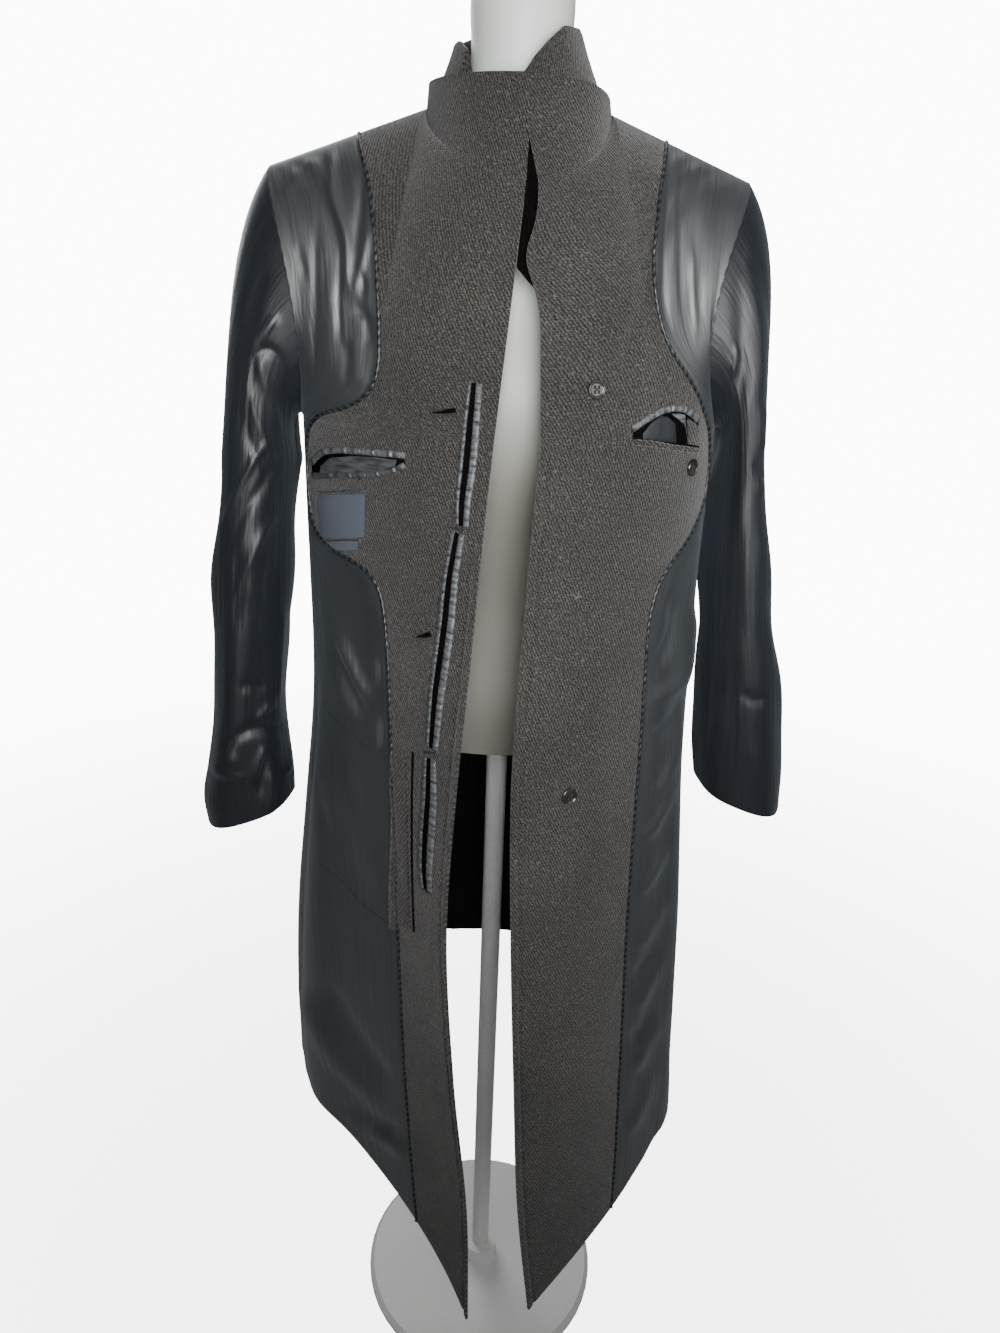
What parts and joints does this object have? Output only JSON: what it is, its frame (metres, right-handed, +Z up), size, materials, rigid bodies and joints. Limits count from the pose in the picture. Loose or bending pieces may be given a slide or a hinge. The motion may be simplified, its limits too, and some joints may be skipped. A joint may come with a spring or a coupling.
{
  "type": "overcoat on dress form",
  "caption": "Overcoat turned inside out, lining and wool facings outward, hanging open and single breasted on a limbless dress form with a pole and round base.",
  "frame": {"origin": "centre of the stand base's underside, on the floor under the pole", "axes": "+Z up along the pole, -Y out of the front of the coat, +X to the right as seen from the front"},
  "size_m": [0.6613, 0.541, 1.704],
  "materials": {
    "wool": "dark brown-grey wool twill",
    "satin": "black satin lining with a blue-grey sheen",
    "satin_trim": "satin piping",
    "label": "woven navy, bare",
    "button": "glossy dark",
    "form": "smooth pale shell",
    "steel": "pale satin paint"
  },
  "bodies": {
    "root": {"back_lining_button_side": "satin", "back_lining_fly_side": "satin", "back_vent_underlap": "wool", "button_pocket_welt_lower": "satin_trim", "button_pocket_welt_upper": "satin_trim", "care_label": "label", "collar": "wool", "facing_button_side": "wool", "facing_fly_side": "wool", "fly_piping_lower_body": "satin_trim", "fly_piping_lower_edge": "satin_trim", "fly_piping_middle_body": "satin_trim", "fly_piping_middle_edge": "satin_trim", "fly_piping_upper_body": "satin_trim", "fly_piping_upper_edge": "satin_trim", "fly_pocket_welt_lower": "satin_trim", "fly_pocket_welt_upper": "satin_trim", "form_torso": "form", "front_button_lower": "button", "front_button_middle": "button", "front_button_upper": "button", "front_lining_button_side": "satin", "front_lining_fly_side": "satin", "label": "label", "pocket_button": "button", "side_pocket_strip": "wool", "stand_base": "steel", "stand_pole": "steel", "stay_button_lower": "button", "stay_button_upper": "button", "top_sleeve_button_side": "satin", "top_sleeve_fly_side": "satin", "under_sleeve_button_side": "satin", "under_sleeve_fly_side": "satin"}
  },
  "joints": []
}
